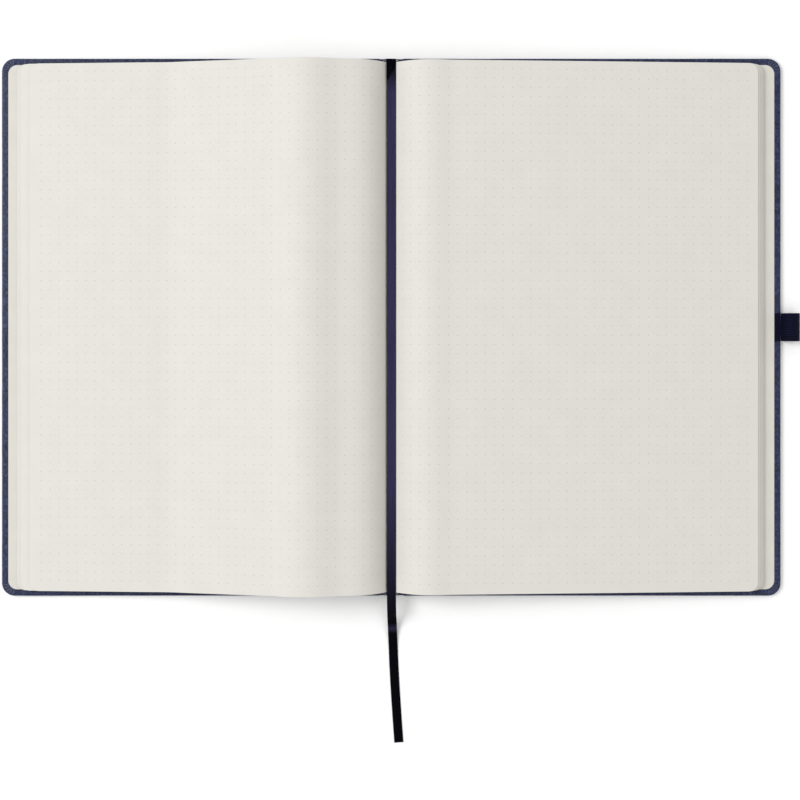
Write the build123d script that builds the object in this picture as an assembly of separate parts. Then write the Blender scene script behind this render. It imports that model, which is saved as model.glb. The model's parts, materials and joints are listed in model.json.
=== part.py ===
from build123d import *
import math
import os

# Open hardcover notebook with a dot-grid page block, a ribbon marker and a pen loop.
# All sizes in millimetres.  +X runs across the spread towards the back cover, +Y runs
# to the head of the pages, +Z is up, and the underside of the spine panel is z = 0.

# ---- driving dimensions -------------------------------------------------------------
cover_height = 297.0        # head edge to tail edge of the case
half_spread = 215.3         # spine centre line to the fore edge of one cover
cover_corner = 7.0          # corner radius of the case
skin = 0.30                 # leatherette covering
board_thickness = 1.80
turn_in = 15.0              # how far the covering is folded over the inner face
pastedown_thickness = 0.12
pastedown_margin = 3.6      # covering left showing around the pastedown
board_inner_x = 6.5         # spine centre line to the inner edge of a board

spine_panel_half = 4.0      # stiff part of the spine
stiffener_thickness = 0.60
stiffener_margin = 0.20     # covering that stands beside the stiffener
lining_thickness = 0.15
hinge_inset = 0.5           # hinge line to the inner edge of a board
shut_gap = 0.13             # air between the block and a shut cover

mull_thickness = 0.20       # gauze on the folds
mull_sink = 0.28            # middle of the gauze below the folds
mull_margin = 8.0           # page height left free of gauze at each end
thread_diameter = 0.16
thread_sink = 0.09          # middle of the thread below the folds
thread_share = 0.36         # station spacing as a share of the page height
band_radius = 0.70          # head and tail bands
back_clearance = 0.45       # room under the folds of the shut block
edge_play = 0.05            # air beside a part glued inside another
lining_play = 0.25          # air at the ends of the hollow lining

signature_pitch = 1.0       # one folded signature of eight leaves
signature_gap = 0.04        # air between neighbouring signatures
back_height = 2.15          # sewn and glued depth of each signature
page_margin = 3.25          # cover showing beyond the head and the tail of the pages
fore_margin = 3.4           # cover showing beyond the fore edge when the book is shut
page_corner = 5.0
rest_gap = 0.06             # air under the lowest edge of each signature

# The open back of the block is thrown up into a ridge, front half and back half
ridge_height = 9.9          # ridge above the table, on the spine side of the block
ridge_gap = 0.6             # opening between the two halves at the ridge
left_tilt = 45.0            # lean of the sewn backs from upright, degrees
right_tilt = 55.0

# Radius of the bend from the sewn back to the page, lowest signature first
left_bends = [8.0, 22.0, 55.0]
right_bends = [8.0, 16.0, 26.0, 38.0, 52.5]

# The top left signature bends over in two steps, then dips again before the fore edge
crest_length = 4.0          # flat crest between the two steps
dip_slope = 14.0            # steepest fall of that signature, degrees
dip_radius = 130.0          # radius of the bend that levels it out

ribbon_width = 5.0
ribbon_thickness = 0.25
ribbon_lift = 0.56          # ribbon above the slopes of the gutter
ribbon_seam = 1.0           # overlap where its straight part meets its flat end

loop_width = 15.5
loop_radius = 4.25          # outer radius of the round part of the pen loop
loop_reach = 10.1           # how far the loop stands out from the cover
loop_lift = 0.05
loop_wall = 0.90
loop_tip_radius = 0.45
loop_bore_inset = 2.6       # fore edge of the cover to the narrow end of the bore
loop_bore_rise = 0.55
loop_bore_tip = 0.22
loop_tab_length = 12.0
tab_depth = 0.9

clear = 0.02                # gap between faces of two bodies that touch at rest
cut = 1.0                   # how far a cutting body runs past the face it opens
halvings = 60               # steps of each search for a resting slope

# ---- derived sizes ------------------------------------------------------------------
top_of_board = skin + board_thickness
top_of_turn_in = top_of_board + skin
inner_face = top_of_turn_in + pastedown_thickness
stiffener_top = skin + stiffener_thickness
lining_top = stiffener_top + lining_thickness
back_foot = lining_top + back_clearance
back_top = back_foot + back_height
signature_count = len(left_bends) + len(right_bends)
block_half = signature_count * signature_pitch / 2
gutter_x = -block_half + len(left_bends) * signature_pitch
leaf_thickness = signature_pitch - signature_gap
page_height = cover_height - 2 * page_margin
# A shut cover stands on its hinge line, so its fore edge is this far above the table
hinge_x = board_inner_x - hinge_inset
hinge_z = block_half + shut_gap + inner_face - hinge_x
shut_height = hinge_z + half_spread - hinge_x
leaf_length = shut_height - fore_margin - back_top

os.makedirs("parts", exist_ok=True)


def save(shape, name):
    """Writes one subcomponent."""
    shape.label = name
    export_step(shape, "parts/" + name + ".step")


def plate(x0, x1, y_half, z0, z1, corner=0.0):
    """Flat plate from x0 to x1, rounded at its two corners on the x1 side."""
    body = Pos((x0 + x1) / 2, 0, (z0 + z1) / 2) * Box(x1 - x0, 2 * y_half, z1 - z0)
    if corner > 0:
        rims = body.edges().filter_by(Axis.Z).sort_by(Axis.X)[-2:]
        body = fillet(rims, corner)
    return body


def to_left(shape):
    """Mirrors a subcomponent of the right half to the left half."""
    return mirror(shape, about=Plane.YZ)


def bend_shape(centre_x, centre_z, radius, thickness, start, sweep):
    """Bend of sheets seen from the tail: a ring sector, angles in degrees from +X."""
    inner = radius - thickness
    outline = []
    for size in (radius, inner):
        corners = []
        for share in (0.0, 0.5, 1.0):
            angle = math.radians(start + sweep * share)
            x = centre_x + size * math.cos(angle)
            z = centre_z + size * math.sin(angle)
            corners.append(Vector(x, 0, z))
        outline.append(corners)
    outer_arc = ThreePointArc(outline[0][0], outline[0][1], outline[0][2])
    inner_arc = ThreePointArc(outline[1][0], outline[1][1], outline[1][2])
    first = Line(outline[0][0], outline[1][0])
    last = Line(outline[0][2], outline[1][2])
    face = make_face([outer_arc, last, inner_arc, first])
    return extrude(face, amount=page_height / 2, dir=(0, 1, 0), both=True)


def leaf_slab(start_x, start_z, slope, length, corner):
    """Flat run of leaves that falls outwards at the slope, from its middle start point."""
    body = plate(0, length, page_height / 2, -leaf_thickness / 2, leaf_thickness / 2, corner)
    return Pos(start_x, 0, start_z) * Rot(0, slope, 0) * body


class Half:
    """One half of the block, as if it lay on the right: its backs lean out from the ridge."""

    def __init__(self, ridge_x, tilt):
        self.tilt = tilt
        self.lean = math.radians(tilt)
        self.ridge_x = ridge_x

    def point(self, across, up):
        """Point across the backs from the ridge, and up along the leaves from their folds."""
        x = self.ridge_x + across * math.cos(self.lean) + up * math.sin(self.lean)
        z = ridge_height - across * math.sin(self.lean) + up * math.cos(self.lean)
        return x, z

    def block(self, across, up, width, depth, height):
        """Box centred on a point of the leaning half."""
        x, z = self.point(across, up)
        return Pos(x, 0, z) * Rot(0, self.tilt, 0) * Box(width, height, depth)


class Bent:
    """A signature that bends over from its sewn back and falls straight to the fore edge."""

    def __init__(self, half, offset, radius, below):
        self.half = half
        self.radius = radius
        self.neutral = radius - leaf_thickness / 2
        self.centre_x, self.centre_z = half.point(offset + radius, back_height)
        low = -1.0
        high = 20.0
        for step in range(halvings):
            self.slope = (low + high) / 2
            self.place()
            if self.foot_z > below(self.foot_x) + rest_gap:
                low = self.slope
            else:
                high = self.slope

    def place(self):
        angle = math.radians(self.slope)
        self.turn = math.pi / 2 - self.half.lean + angle
        self.length = leaf_length - self.neutral * self.turn
        self.start_x = self.centre_x + self.neutral * math.sin(angle)
        self.start_z = self.centre_z + self.neutral * math.cos(angle)
        under = leaf_thickness / 2
        end_x = self.start_x + self.length * math.cos(angle)
        end_z = self.start_z - self.length * math.sin(angle)
        self.foot_x = end_x - under * math.sin(angle)
        self.foot_z = end_z - under * math.cos(angle)

    def top(self, x):
        """Height of the upper face at x."""
        angle = math.radians(self.slope)
        rise = leaf_thickness / 2
        face_x = self.start_x + rise * math.sin(angle)
        face_z = self.start_z + rise * math.cos(angle)
        return face_z - (x - face_x) * math.tan(angle)

    def bend(self):
        first = 180 - self.half.tilt
        sweep = -math.degrees(self.turn)
        return bend_shape(self.centre_x, self.centre_z, self.radius, leaf_thickness, first, sweep)

    def slab(self):
        angle = math.radians(self.slope)
        x = self.start_x + clear * math.cos(angle)
        z = self.start_z - clear * math.sin(angle)
        return leaf_slab(x, z, self.slope, self.length - clear, page_corner)


def cover_face(x):
    """Height of the pastedown."""
    return inner_face


def offset_of(index, count):
    """Distance from the ridge to the upper face of a signature, lowest signature first."""
    return (count - 1 - index) * signature_pitch + signature_gap / 2


def stack(half, radii, count):
    """Signatures of one half, lowest first, each resting on the one below."""
    below = cover_face
    result = []
    for index, radius in enumerate(radii):
        signature = Bent(half, offset_of(index, count), radius, below)
        result.append(signature)
        below = signature.top
    return result


# ---- case: covers ---------------------------------------------------------------------
cover_half = cover_height / 2


def case_covering():
    """Leatherette of one cover: outer face, three wrapped edges and the turn-ins."""
    outer = plate(board_inner_x, half_spread, cover_half, 0, top_of_turn_in, cover_corner)
    room = plate(
        board_inner_x - cut,
        half_spread - skin,
        cover_half - skin,
        skin,
        top_of_board,
        cover_corner - skin,
    )
    window = plate(
        board_inner_x - cut,
        half_spread - turn_in,
        cover_half - turn_in,
        top_of_board - cut,
        top_of_turn_in + cut,
    )
    return outer - room - window


def case_board():
    return plate(
        board_inner_x,
        half_spread - skin,
        cover_half - skin,
        skin,
        top_of_board,
        cover_corner - skin,
    )


def case_infill():
    """Card that levels the inner face between the turn-ins."""
    return plate(
        board_inner_x,
        half_spread - turn_in,
        cover_half - turn_in,
        top_of_board,
        top_of_turn_in,
    )


def case_pastedown():
    return plate(
        board_inner_x,
        half_spread - pastedown_margin,
        cover_half - pastedown_margin,
        top_of_turn_in,
        inner_face,
        page_corner,
    )


# Recess in the back cover that takes the tab of the pen loop
tab_start = half_spread - loop_tab_length
tab_floor = top_of_turn_in - tab_depth
tab_recess = plate(tab_start, half_spread + cut, loop_width / 2, tab_floor, top_of_turn_in + cut)

save(to_left(case_board()), "front_board")
save(to_left(case_covering()), "front_covering")
save(to_left(case_infill()), "front_infill")
save(to_left(case_pastedown()), "front_pastedown")
save(case_board() - tab_recess, "back_board")
save(case_covering() - tab_recess, "back_covering")
save(case_infill(), "back_infill")
save(case_pastedown(), "back_pastedown")

# ---- pen loop -------------------------------------------------------------------------
tab = plate(tab_start, half_spread, loop_width / 2, tab_floor, top_of_turn_in)
save(tab, "pen_loop_tab")

loop_x = half_spread + loop_reach - loop_radius
loop_z = loop_radius + loop_lift
neck_x = half_spread + loop_tip_radius + edge_play + clear
neck_z = top_of_turn_in - tab_depth / 2
bore_x = half_spread + loop_bore_inset
bore_z = neck_z + loop_bore_rise


def teardrop(radius, tip_x, tip_z, tip_radius):
    """Round loop drawn in to a neck beside the cover."""
    distance = math.hypot(loop_x - tip_x, loop_z - tip_z)
    along = math.atan2(loop_z - tip_z, loop_x - tip_x)
    spread = math.acos((tip_radius - radius) / distance)
    corners = []
    for side in (1, -1):
        angle = along + side * spread
        corners.append((side, angle))
    points = []
    for side, angle in corners:
        tip = Vector(tip_x + tip_radius * math.cos(angle), 0, tip_z + tip_radius * math.sin(angle))
        far = Vector(loop_x + radius * math.cos(angle), 0, loop_z + radius * math.sin(angle))
        points.append((tip, far))
    far_middle = Vector(loop_x + radius * math.cos(along), 0, loop_z + radius * math.sin(along))
    tip_middle = Vector(tip_x - tip_radius * math.cos(along), 0, tip_z - tip_radius * math.sin(along))
    edges = [
        Line(points[0][0], points[0][1]),
        ThreePointArc(points[0][1], far_middle, points[1][1]),
        Line(points[1][1], points[1][0]),
        ThreePointArc(points[1][0], tip_middle, points[0][0]),
    ]
    return make_face(edges)


loop_outer = teardrop(loop_radius, neck_x, neck_z, loop_tip_radius)
loop_inner = teardrop(loop_radius - loop_wall, bore_x, bore_z, loop_bore_tip)
loop = extrude(loop_outer, amount=loop_width / 2, dir=(0, 1, 0), both=True)
loop -= extrude(loop_inner, amount=loop_width, dir=(0, 1, 0), both=True)
save(loop, "pen_loop")

# ---- spine ----------------------------------------------------------------------------
stiffener_half = spine_panel_half - stiffener_margin
spine_inner_half = cover_half - skin
rim_height = stiffener_top + skin / 2

spine_panel = plate(-spine_panel_half, spine_panel_half, cover_half, 0, skin)
for side in (1, -1):
    rim = Pos(0, side * (cover_half - skin / 2), rim_height / 2)
    spine_panel += rim * Box(2 * spine_panel_half, skin, rim_height)
save(spine_panel, "spine_covering")
save(plate(-stiffener_half, stiffener_half, spine_inner_half, skin, stiffener_top), "spine_stiffener")
save(plate(-stiffener_half, stiffener_half, page_height / 2, stiffener_top, lining_top), "spine_lining")

joint_skin = plate(spine_panel_half, board_inner_x - clear, cover_half, 0, skin)
save(joint_skin, "back_joint_skin")
save(to_left(joint_skin), "front_joint_skin")

# ---- back of the block ----------------------------------------------------------------
left_count = len(left_bends)
right_count = len(right_bends)
left_side = Half(-gutter_x + ridge_gap / 2, left_tilt)
right_side = Half(gutter_x + ridge_gap / 2, right_tilt)
mull_height = page_height - 2 * mull_margin
sides = (
    ("front", left_side, left_count, to_left),
    ("back", right_side, right_count, Pos(0, 0, 0)),
)


def put(placing, shape):
    """Places a subcomponent of the right half, or mirrors it to the left half."""
    if placing is to_left:
        return to_left(shape)
    return placing * shape


for name, half, count, placing in sides:
    width = count * signature_pitch
    middle = width / 2

    # Sewing thread across the folds at three stations
    for number in range(3):
        station = (number - 1) * page_height * thread_share
        x, z = half.point(middle, -thread_sink)
        thread = Cylinder(thread_diameter / 2, width - 4 * edge_play, rotation=(0, 90, 0))
        thread = Pos(x, station, z) * Rot(0, half.tilt, 0) * thread
        save(put(placing, thread), "%s_thread_%d" % (name, number + 1))

    # Gauze glued over the folds
    gauze = half.block(middle, -mull_sink, width, mull_thickness, mull_height)
    save(put(placing, gauze), name + "_mull")

    # Bands that cap the head and the tail of the sewn backs
    band_width = width - 2 * edge_play
    foot_depth = back_height - band_radius
    for end, end_name in ((1, "head"), (-1, "tail")):
        x, z = half.point(middle, foot_depth)
        bead = Cylinder(band_radius, band_width, rotation=(0, 90, 0))
        band = Pos(x, 0, z) * Rot(0, half.tilt, 0) * bead
        band += half.block(middle, foot_depth / 2, band_width, foot_depth, 2 * band_radius)
        band = Pos(0, end * (page_height / 2 + band_radius), 0) * band
        save(put(placing, band), "%s_%s_band" % (name, end_name))

    # Flexible lining between the spine strip and the raised back of the block
    foot_x = stiffener_half - 2 * edge_play
    top_x, top_z = half.point(band_width, -mull_sink - mull_thickness)
    span = math.hypot(top_x - foot_x, top_z - lining_top)
    lean = math.degrees(math.atan2(top_x - foot_x, top_z - lining_top))
    lining = Box(lining_thickness, mull_height, span - lining_play)
    lining = Rot(0, lean, 0) * lining
    lining = Pos((top_x + foot_x) / 2, 0, (top_z + lining_top) / 2) * lining
    save(put(placing, lining), name + "_hollow_lining")

# ---- signatures -----------------------------------------------------------------------
for number in range(signature_count):
    if number < left_count:
        half = left_side
        across = (left_count - 1 - number + 0.5) * signature_pitch
        placing = to_left
    else:
        half = right_side
        across = (number - left_count + 0.5) * signature_pitch
        placing = Pos(0, 0, 0)
    back = half.block(across, back_height / 2, leaf_thickness, back_height, page_height)
    save(put(placing, back), "signature_%d_back" % (number + 1))

# Right half: the lowest signature is the last of the block
for index, signature in enumerate(stack(right_side, right_bends, right_count)):
    name = "signature_%d" % (signature_count - index)
    save(signature.bend(), name + "_bend")
    save(signature.slab(), name + "_leaves")

# Left half, worked out as if it lay on the right and then mirrored
left_half = stack(left_side, left_bends[:-1], left_count)
for index, signature in enumerate(left_half):
    name = "signature_%d" % (index + 1)
    save(to_left(signature.bend()), name + "_bend")
    save(to_left(signature.slab()), name + "_leaves")


class Dipping:
    """Top left signature: a bend in two steps, a falling run, a dip and an outer run."""

    def __init__(self, half, offset, radius, below):
        self.half = half
        self.radius = radius
        self.neutral = radius - leaf_thickness / 2
        self.centre_x, self.centre_z = half.point(offset + radius, back_height)
        self.end_slope = below.slope
        self.fall = math.radians(dip_slope)
        self.rest = math.radians(below.slope)
        self.first_turn = math.pi / 2 - half.lean + self.fall
        self.crest = self.fall - self.first_turn / 2
        self.crest_x = self.centre_x + self.neutral * math.sin(self.crest)
        self.crest_z = self.centre_z + self.neutral * math.cos(self.crest)
        self.second_x = self.centre_x + crest_length * math.cos(self.crest)
        self.second_z = self.centre_z - crest_length * math.sin(self.crest)
        self.start_x = self.second_x + self.neutral * math.sin(self.fall)
        self.start_z = self.second_z + self.neutral * math.cos(self.fall)
        self.dip_neutral = dip_radius + leaf_thickness / 2
        low = 20.0
        high = 180.0
        for step in range(halvings):
            self.run = (low + high) / 2
            self.place()
            if self.foot_z > below.top(self.foot_x) + rest_gap:
                low = self.run
            else:
                high = self.run

    def place(self):
        turn = self.fall - self.rest
        used = self.neutral * self.first_turn + crest_length
        self.dip_length = self.dip_neutral * turn
        self.outer_length = leaf_length - used - self.run - self.dip_length
        self.run_x = self.start_x + self.run * math.cos(self.fall)
        self.run_z = self.start_z - self.run * math.sin(self.fall)
        self.dip_x = self.run_x + self.dip_neutral * math.sin(self.fall)
        self.dip_z = self.run_z + self.dip_neutral * math.cos(self.fall)
        self.outer_x = self.dip_x - self.dip_neutral * math.sin(self.rest)
        self.outer_z = self.dip_z - self.dip_neutral * math.cos(self.rest)
        end_x = self.outer_x + self.outer_length * math.cos(self.rest)
        end_z = self.outer_z - self.outer_length * math.sin(self.rest)
        under = leaf_thickness / 2
        self.foot_x = end_x - under * math.sin(self.rest)
        self.foot_z = end_z - under * math.cos(self.rest)


top_left = Dipping(left_side, offset_of(left_count - 1, left_count), left_bends[-1], left_half[-1])
top_name = "signature_%d" % left_count
first_bend = bend_shape(
    top_left.centre_x,
    top_left.centre_z,
    top_left.radius,
    leaf_thickness,
    180 - left_tilt,
    -math.degrees(top_left.first_turn) / 2,
)
crest_x = top_left.crest_x + clear * math.cos(top_left.crest)
crest_z = top_left.crest_z - clear * math.sin(top_left.crest)
crest_slope = math.degrees(top_left.crest)
crest_run = leaf_slab(crest_x, crest_z, crest_slope, crest_length - clear, 0.0)
crest_bend = bend_shape(
    top_left.second_x,
    top_left.second_z,
    top_left.radius,
    leaf_thickness,
    90 - crest_slope,
    -math.degrees(top_left.first_turn) / 2,
)
run_x = top_left.start_x + clear * math.cos(top_left.fall)
run_z = top_left.start_z - clear * math.sin(top_left.fall)
falling_run = leaf_slab(run_x, run_z, dip_slope, top_left.run - clear, 0.0)
second_bend = bend_shape(
    top_left.dip_x,
    top_left.dip_z,
    dip_radius + leaf_thickness,
    leaf_thickness,
    270 - dip_slope,
    dip_slope - top_left.end_slope,
)
outer_x = top_left.outer_x + clear * math.cos(top_left.rest)
outer_z = top_left.outer_z - clear * math.sin(top_left.rest)
outer_run = leaf_slab(outer_x, outer_z, top_left.end_slope, top_left.outer_length - clear, page_corner)
save(to_left(first_bend), top_name + "_bend")
save(to_left(crest_run), top_name + "_crest_leaves")
save(to_left(crest_bend), top_name + "_crest_bend")
save(to_left(falling_run), top_name + "_leaves")
save(to_left(second_bend), top_name + "_dip")
save(to_left(outer_run), top_name + "_outer_leaves")

# ---- ribbon marker --------------------------------------------------------------------
page_half = page_height / 2
ribbon_x = gutter_x / 2


def slope_height(half, edge_x):
    """Height that the leaning half reaches at a distance from the middle of the spine."""
    return ridge_height + (edge_x - half.ridge_x) / math.tan(half.lean)


left_edge = slope_height(left_side, ribbon_width / 2 - ribbon_x)
right_edge = slope_height(right_side, ribbon_width / 2 + ribbon_x)
ribbon_level = max(left_edge, right_edge) + ribbon_lift
ribbon_rest = ribbon_thickness / 2 + edge_play

# Free part of the ribbon: along the gutter, off the tail, down to the table and flat
# to the cut end.  Each point is (across, along, up).
ribbon_route = [
    (ribbon_x, page_half + 1.65, ribbon_level),
    (ribbon_x, -page_half - 8.8, ribbon_level),
    (0.2, -page_half - 20.8, ribbon_rest),
    (1.5, -page_half - 53.8, ribbon_rest),
    (3.6, -page_half - 84.8, ribbon_rest),
]


def bend_radius(before, corner, after):
    """Radius of the arc at a corner of the route, and the turn there in degrees."""
    first = Vector(*corner) - Vector(*before)
    second = Vector(*after) - Vector(*corner)
    turn = first.get_angle(second)
    shorter = min(first.length, second.length)
    return 0.45 * shorter / math.tan(math.radians(turn / 2)), turn


radii = []
for index in range(1, len(ribbon_route) - 1):
    radius, turn = bend_radius(*ribbon_route[index - 1:index + 2])
    radii.append(radius)
    print("ribbon corner %d: radius %.1f mm, turn %.1f degrees" % (index, radius, turn))

start, over_tail, landing, middle, end = ribbon_route


def beyond(corner, towards, distance):
    """Point of the ribbon's side view that lies past a corner towards another point."""
    here = Vector(0, corner[1], corner[2])
    there = Vector(0, towards[1], towards[2])
    return here + (there - here).normalized() * distance


def arc_at(before, corner, after, radius):
    """Tangent arc of the ribbon's side view at a corner."""
    into = Vector(0, corner[1] - before[1], corner[2] - before[2])
    out = Vector(0, after[1] - corner[1], after[2] - corner[2])
    half_turn = math.radians(into.get_angle(out) / 2)
    reach = radius * math.tan(half_turn)
    first = beyond(corner, before, reach)
    last = beyond(corner, after, reach)
    inside = (first + last) * 0.5 - Vector(0, corner[1], corner[2])
    depth = radius / math.cos(half_turn) - radius
    peak = Vector(0, corner[1], corner[2]) + inside.normalized() * depth
    return first, peak, last


first_arc = arc_at(start, over_tail, landing, radii[0])
second_arc = arc_at(over_tail, landing, middle, radii[1])
flat_start = second_arc[2] - Vector(0, ribbon_seam, 0)
side_view = Wire([
    Line(beyond(start, over_tail, 0), first_arc[0]),
    ThreePointArc(*first_arc),
    Line(first_arc[2], second_arc[0]),
    ThreePointArc(*second_arc),
    Line(second_arc[2], flat_start),
])
ribbon_plane = Plane(origin=(0, start[1], start[2]), x_dir=(1, 0, 0), z_dir=(0, -1, 0))
ribbon = sweep(ribbon_plane * Rectangle(ribbon_width, ribbon_thickness), path=side_view)
ribbon = Pos(ribbon_x, 0, 0) * ribbon

# The flat end drifts sideways
plan = [
    (ribbon_x, flat_start.Y + ribbon_seam),
    (ribbon_x, flat_start.Y - ribbon_seam),
    middle[:2],
    end[:2],
]
flat_end = trace(Polyline(*plan), line_width=ribbon_width)
flat_end = extrude(flat_end, amount=ribbon_thickness / 2, both=True)
ribbon += Pos(0, 0, end[2]) * flat_end
print("ribbon volume %.1f mm3" % ribbon.volume)
save(ribbon, "ribbon_marker")

# Glued foot of the ribbon: it stands behind the head band, up to the gutter
foot_low = lining_top + lining_play
foot_high = ribbon_level - lining_play
foot_y = page_half + 2 * band_radius + lining_play
foot = Box(ribbon_width, ribbon_thickness, foot_high - foot_low)
save(Pos(ribbon_x, foot_y, (foot_high + foot_low) / 2) * foot, "ribbon_foot")
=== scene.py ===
import json
import math

import bmesh
import bpy
import numpy as np
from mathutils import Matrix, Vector


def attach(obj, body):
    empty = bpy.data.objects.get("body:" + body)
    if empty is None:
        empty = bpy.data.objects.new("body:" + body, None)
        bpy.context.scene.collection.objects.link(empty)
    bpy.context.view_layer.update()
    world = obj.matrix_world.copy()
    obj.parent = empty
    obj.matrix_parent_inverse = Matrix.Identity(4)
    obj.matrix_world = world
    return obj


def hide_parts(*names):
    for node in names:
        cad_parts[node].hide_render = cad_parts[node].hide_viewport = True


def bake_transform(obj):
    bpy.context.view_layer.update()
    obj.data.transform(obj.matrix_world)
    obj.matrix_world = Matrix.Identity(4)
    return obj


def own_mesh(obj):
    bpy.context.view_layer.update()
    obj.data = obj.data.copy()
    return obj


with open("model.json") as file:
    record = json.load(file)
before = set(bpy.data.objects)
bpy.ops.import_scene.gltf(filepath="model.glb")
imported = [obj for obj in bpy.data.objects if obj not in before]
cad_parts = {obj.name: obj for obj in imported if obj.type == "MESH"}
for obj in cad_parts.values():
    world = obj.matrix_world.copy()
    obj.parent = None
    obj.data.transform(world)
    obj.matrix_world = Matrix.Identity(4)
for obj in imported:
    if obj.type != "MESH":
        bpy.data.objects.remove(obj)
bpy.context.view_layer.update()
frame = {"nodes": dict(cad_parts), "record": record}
JOINTS = {joint["name"]: joint for joint in frame["record"]["behaviour"]["joints"]}

# ---- sizes shared with the part, in metres ---------------------------------------------
MM = 0.001
COVER_HALF = 148.5 * MM         # half the height of the case
HALF_SPREAD = 215.3 * MM        # middle of the spine to the fore edge of a cover
COVER_CORNER = 7.0 * MM
SKIN = 0.30 * MM                # thickness of the leatherette
BOARD_INNER = 6.5 * MM          # middle of the spine to the inner edge of a board
SPINE_HALF = 4.0 * MM
PAGE_HALF = 145.25 * MM         # half the height of a page
PAGE_CORNER = 5.0 * MM
LEAF_LENGTH = 202.9 * MM        # sewn back to fore edge along the leaf
BACK_HEIGHT = 2.15 * MM
RIDGE_HEIGHT = 9.9 * MM
RIDGE_GAP = 0.6 * MM
PITCH = 1.0 * MM                # one signature and the gap to the next
GAP = 0.04 * MM
LEFT_COUNT = 3
RIGHT_COUNT = 5
CREST_LENGTH = 4.0 * MM         # flat crest between the two bends of the top left signature
LEAVES = 8                      # leaves in one signature
SHEET = 0.104 * MM              # thickness of one leaf
SLIP = 0.05 * MM                # how far each leaf slips back from the one under it
UNEVEN = 0.06 * MM              # unevenness of the cut fore edge
GRID = 5.0 * MM                 # pitch of the printed dots
GRID_COLUMNS = 39
GRID_ROWS = 57
LOOP_HALF = 7.75 * MM
RIBS = 12                       # ribs across the elastic webbing
STEPS_PER_RIB = 12
RIBBON_WIDTH = 5.0 * MM
RIBBON_THICKNESS = 0.25 * MM
HALVINGS = 40                   # steps of the search for a leaf's open shape
SHARP = 50                      # degrees between faces that are shaded as an edge
RIBBON_ROUTE = [
    (0.0001, 0.1469, 0.0125),
    (0.0001, -0.1370, 0.0125),
    (0.0001, -0.15405, 0.0125),
    (0.0006, -0.16605, 0.000175),
    (0.0019, -0.19905, 0.000175),
    (0.0042, -0.23005, 0.000175),
]

# ---- node helpers ----------------------------------------------------------------------


class Nodes:
    """A material and short calls that add its nodes."""

    def __init__(self, name, colour, roughness):
        self.material = bpy.data.materials.new(name)
        self.material.use_nodes = True
        self.tree = self.material.node_tree
        self.shader = self.tree.nodes["Principled BSDF"]
        self.shader.inputs["Base Color"].default_value = (*colour, 1)
        self.shader.inputs["Roughness"].default_value = roughness

    def add(self, kind, **values):
        node = self.tree.nodes.new(kind)
        for key, value in values.items():
            setattr(node, key, value)
        return node

    def link(self, source, target):
        self.tree.links.new(source, target)

    def set(self, name, value):
        self.shader.inputs[name].default_value = value

    def place(self, scale=(1, 1, 1)):
        """Coordinates of the object, in metres times the scale."""
        coordinates = self.add("ShaderNodeTexCoord")
        mapping = self.add("ShaderNodeMapping")
        mapping.inputs["Scale"].default_value = scale
        self.link(coordinates.outputs["Object"], mapping.inputs["Vector"])
        return mapping.outputs["Vector"]

    def noise(self, vector, scale, detail=4.0, roughness=0.55, distortion=0.0):
        node = self.add("ShaderNodeTexNoise")
        node.inputs["Scale"].default_value = scale
        node.inputs["Detail"].default_value = detail
        node.inputs["Roughness"].default_value = roughness
        node.inputs["Distortion"].default_value = distortion
        self.link(vector, node.inputs["Vector"])
        return node.outputs["Fac"]

    def cells(self, vector, scale, feature="F1"):
        node = self.add("ShaderNodeTexVoronoi", feature=feature)
        node.inputs["Scale"].default_value = scale
        self.link(vector, node.inputs["Vector"])
        return node.outputs["Distance"]

    def wave(self, vector, scale, direction="X", distortion=0.0):
        node = self.add("ShaderNodeTexWave", bands_direction=direction)
        node.inputs["Scale"].default_value = scale
        node.inputs["Distortion"].default_value = distortion
        self.link(vector, node.inputs["Vector"])
        return node.outputs["Fac"]

    def split(self, vector):
        """The parts of a vector, by the names X, Y and Z."""
        node = self.add("ShaderNodeSeparateXYZ")
        self.link(vector, node.inputs["Vector"])
        return node.outputs

    def uv(self, name):
        return self.add("ShaderNodeUVMap", uv_map=name).outputs["UV"]

    def math(self, operation, first, second=0.0, clamp=False):
        node = self.add("ShaderNodeMath", operation=operation, use_clamp=clamp)
        for socket, value in zip(node.inputs, (first, second)):
            if isinstance(value, (int, float)):
                socket.default_value = value
            else:
                self.link(value, socket)
        return node.outputs["Value"]

    def spread(self, value, low, high, new_low=0.0, new_high=1.0):
        node = self.add("ShaderNodeMapRange")
        node.inputs["From Min"].default_value = low
        node.inputs["From Max"].default_value = high
        node.inputs["To Min"].default_value = new_low
        node.inputs["To Max"].default_value = new_high
        self.link(value, node.inputs["Value"])
        return node.outputs["Result"]

    def mix(self, factor, first, second):
        node = self.add("ShaderNodeMix", data_type="RGBA")
        if isinstance(factor, (int, float)):
            node.inputs["Factor"].default_value = factor
        else:
            self.link(factor, node.inputs["Factor"])
        for socket, colour in ((node.inputs[6], first), (node.inputs[7], second)):
            if isinstance(colour, tuple):
                socket.default_value = (*colour, 1)
            else:
                self.link(colour, socket)
        return node.outputs[2]

    def colour(self, source):
        self.link(source, self.shader.inputs["Base Color"])

    def rough(self, value, low, high):
        self.link(self.spread(value, 0.25, 0.75, low, high), self.shader.inputs["Roughness"])

    def bump(self, *layers):
        """Layers of (height value, distance in metres), finest last."""
        normal = None
        for height, distance in layers:
            node = self.add("ShaderNodeBump")
            node.inputs["Strength"].default_value = 1.0
            node.inputs["Distance"].default_value = distance
            self.link(height, node.inputs["Height"])
            if normal is not None:
                self.link(normal, node.inputs["Normal"])
            normal = node.outputs["Normal"]
        self.link(normal, self.shader.inputs["Normal"])


# ---- materials -------------------------------------------------------------------------
PAGE_LIGHT = (0.668, 0.652, 0.606)
PAGE_DARK = (0.650, 0.633, 0.586)


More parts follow.
